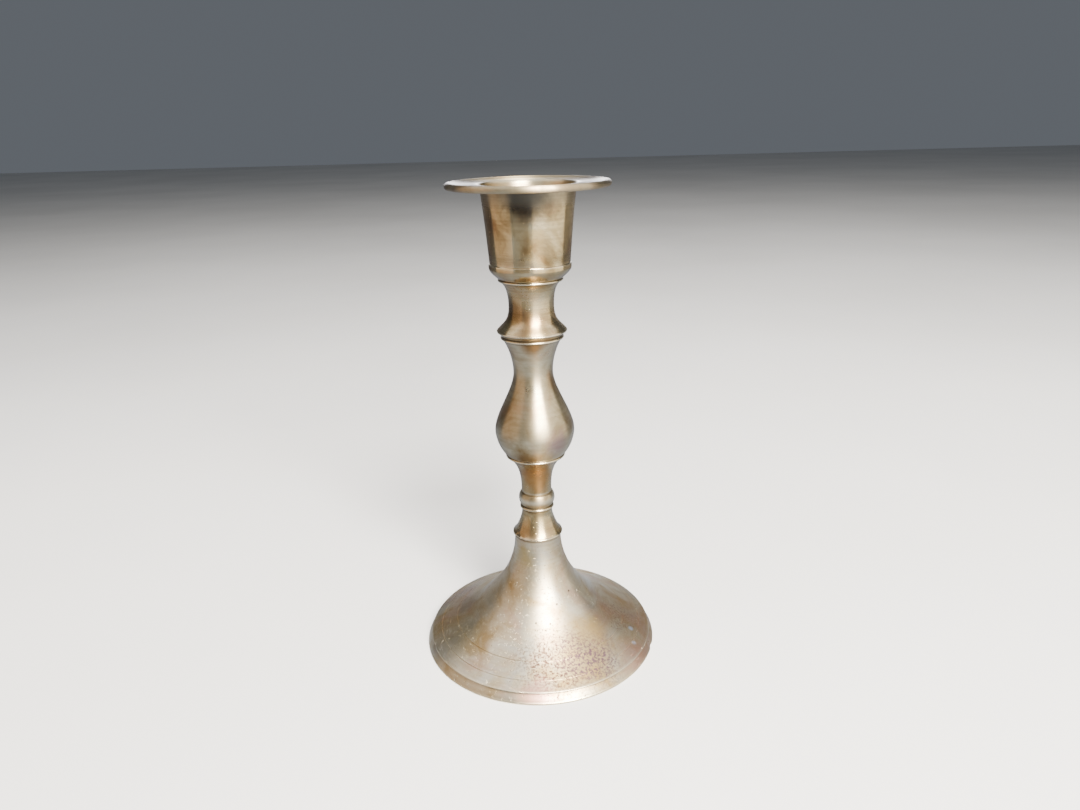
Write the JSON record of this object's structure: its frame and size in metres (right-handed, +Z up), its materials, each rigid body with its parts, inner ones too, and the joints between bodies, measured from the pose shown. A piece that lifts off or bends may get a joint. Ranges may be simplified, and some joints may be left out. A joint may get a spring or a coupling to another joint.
{
  "type": "brass candlestick",
  "caption": "Turned brass candlestick: hollow trumpet foot, stacked baluster stem with knop and bead, and a cup with a wide drip flange, held together by a tie rod.",
  "frame": {"origin": "centre of the foot where it stands on the table", "axes": "+Z up along the axis of the stem, towards the candle"},
  "size_m": [0.0818, 0.0818, 0.16],
  "materials": {
    "cast_brass": "cast and turned, aged, tarnished",
    "turned_brass": "turned, once polished, dulled with age",
    "plated_steel": "zinc plated, dull"
  },
  "bodies": {
    "root": {"foot": "cast_brass", "skirt_collar": "turned_brass", "bead_ring": "turned_brass", "lower_neck": "turned_brass", "vase": "turned_brass", "knop": "turned_brass", "candle_cup": "turned_brass", "tie_rod": "plated_steel", "washer": "plated_steel", "lock_washer": "plated_steel", "nut": "plated_steel"}
  },
  "joints": []
}
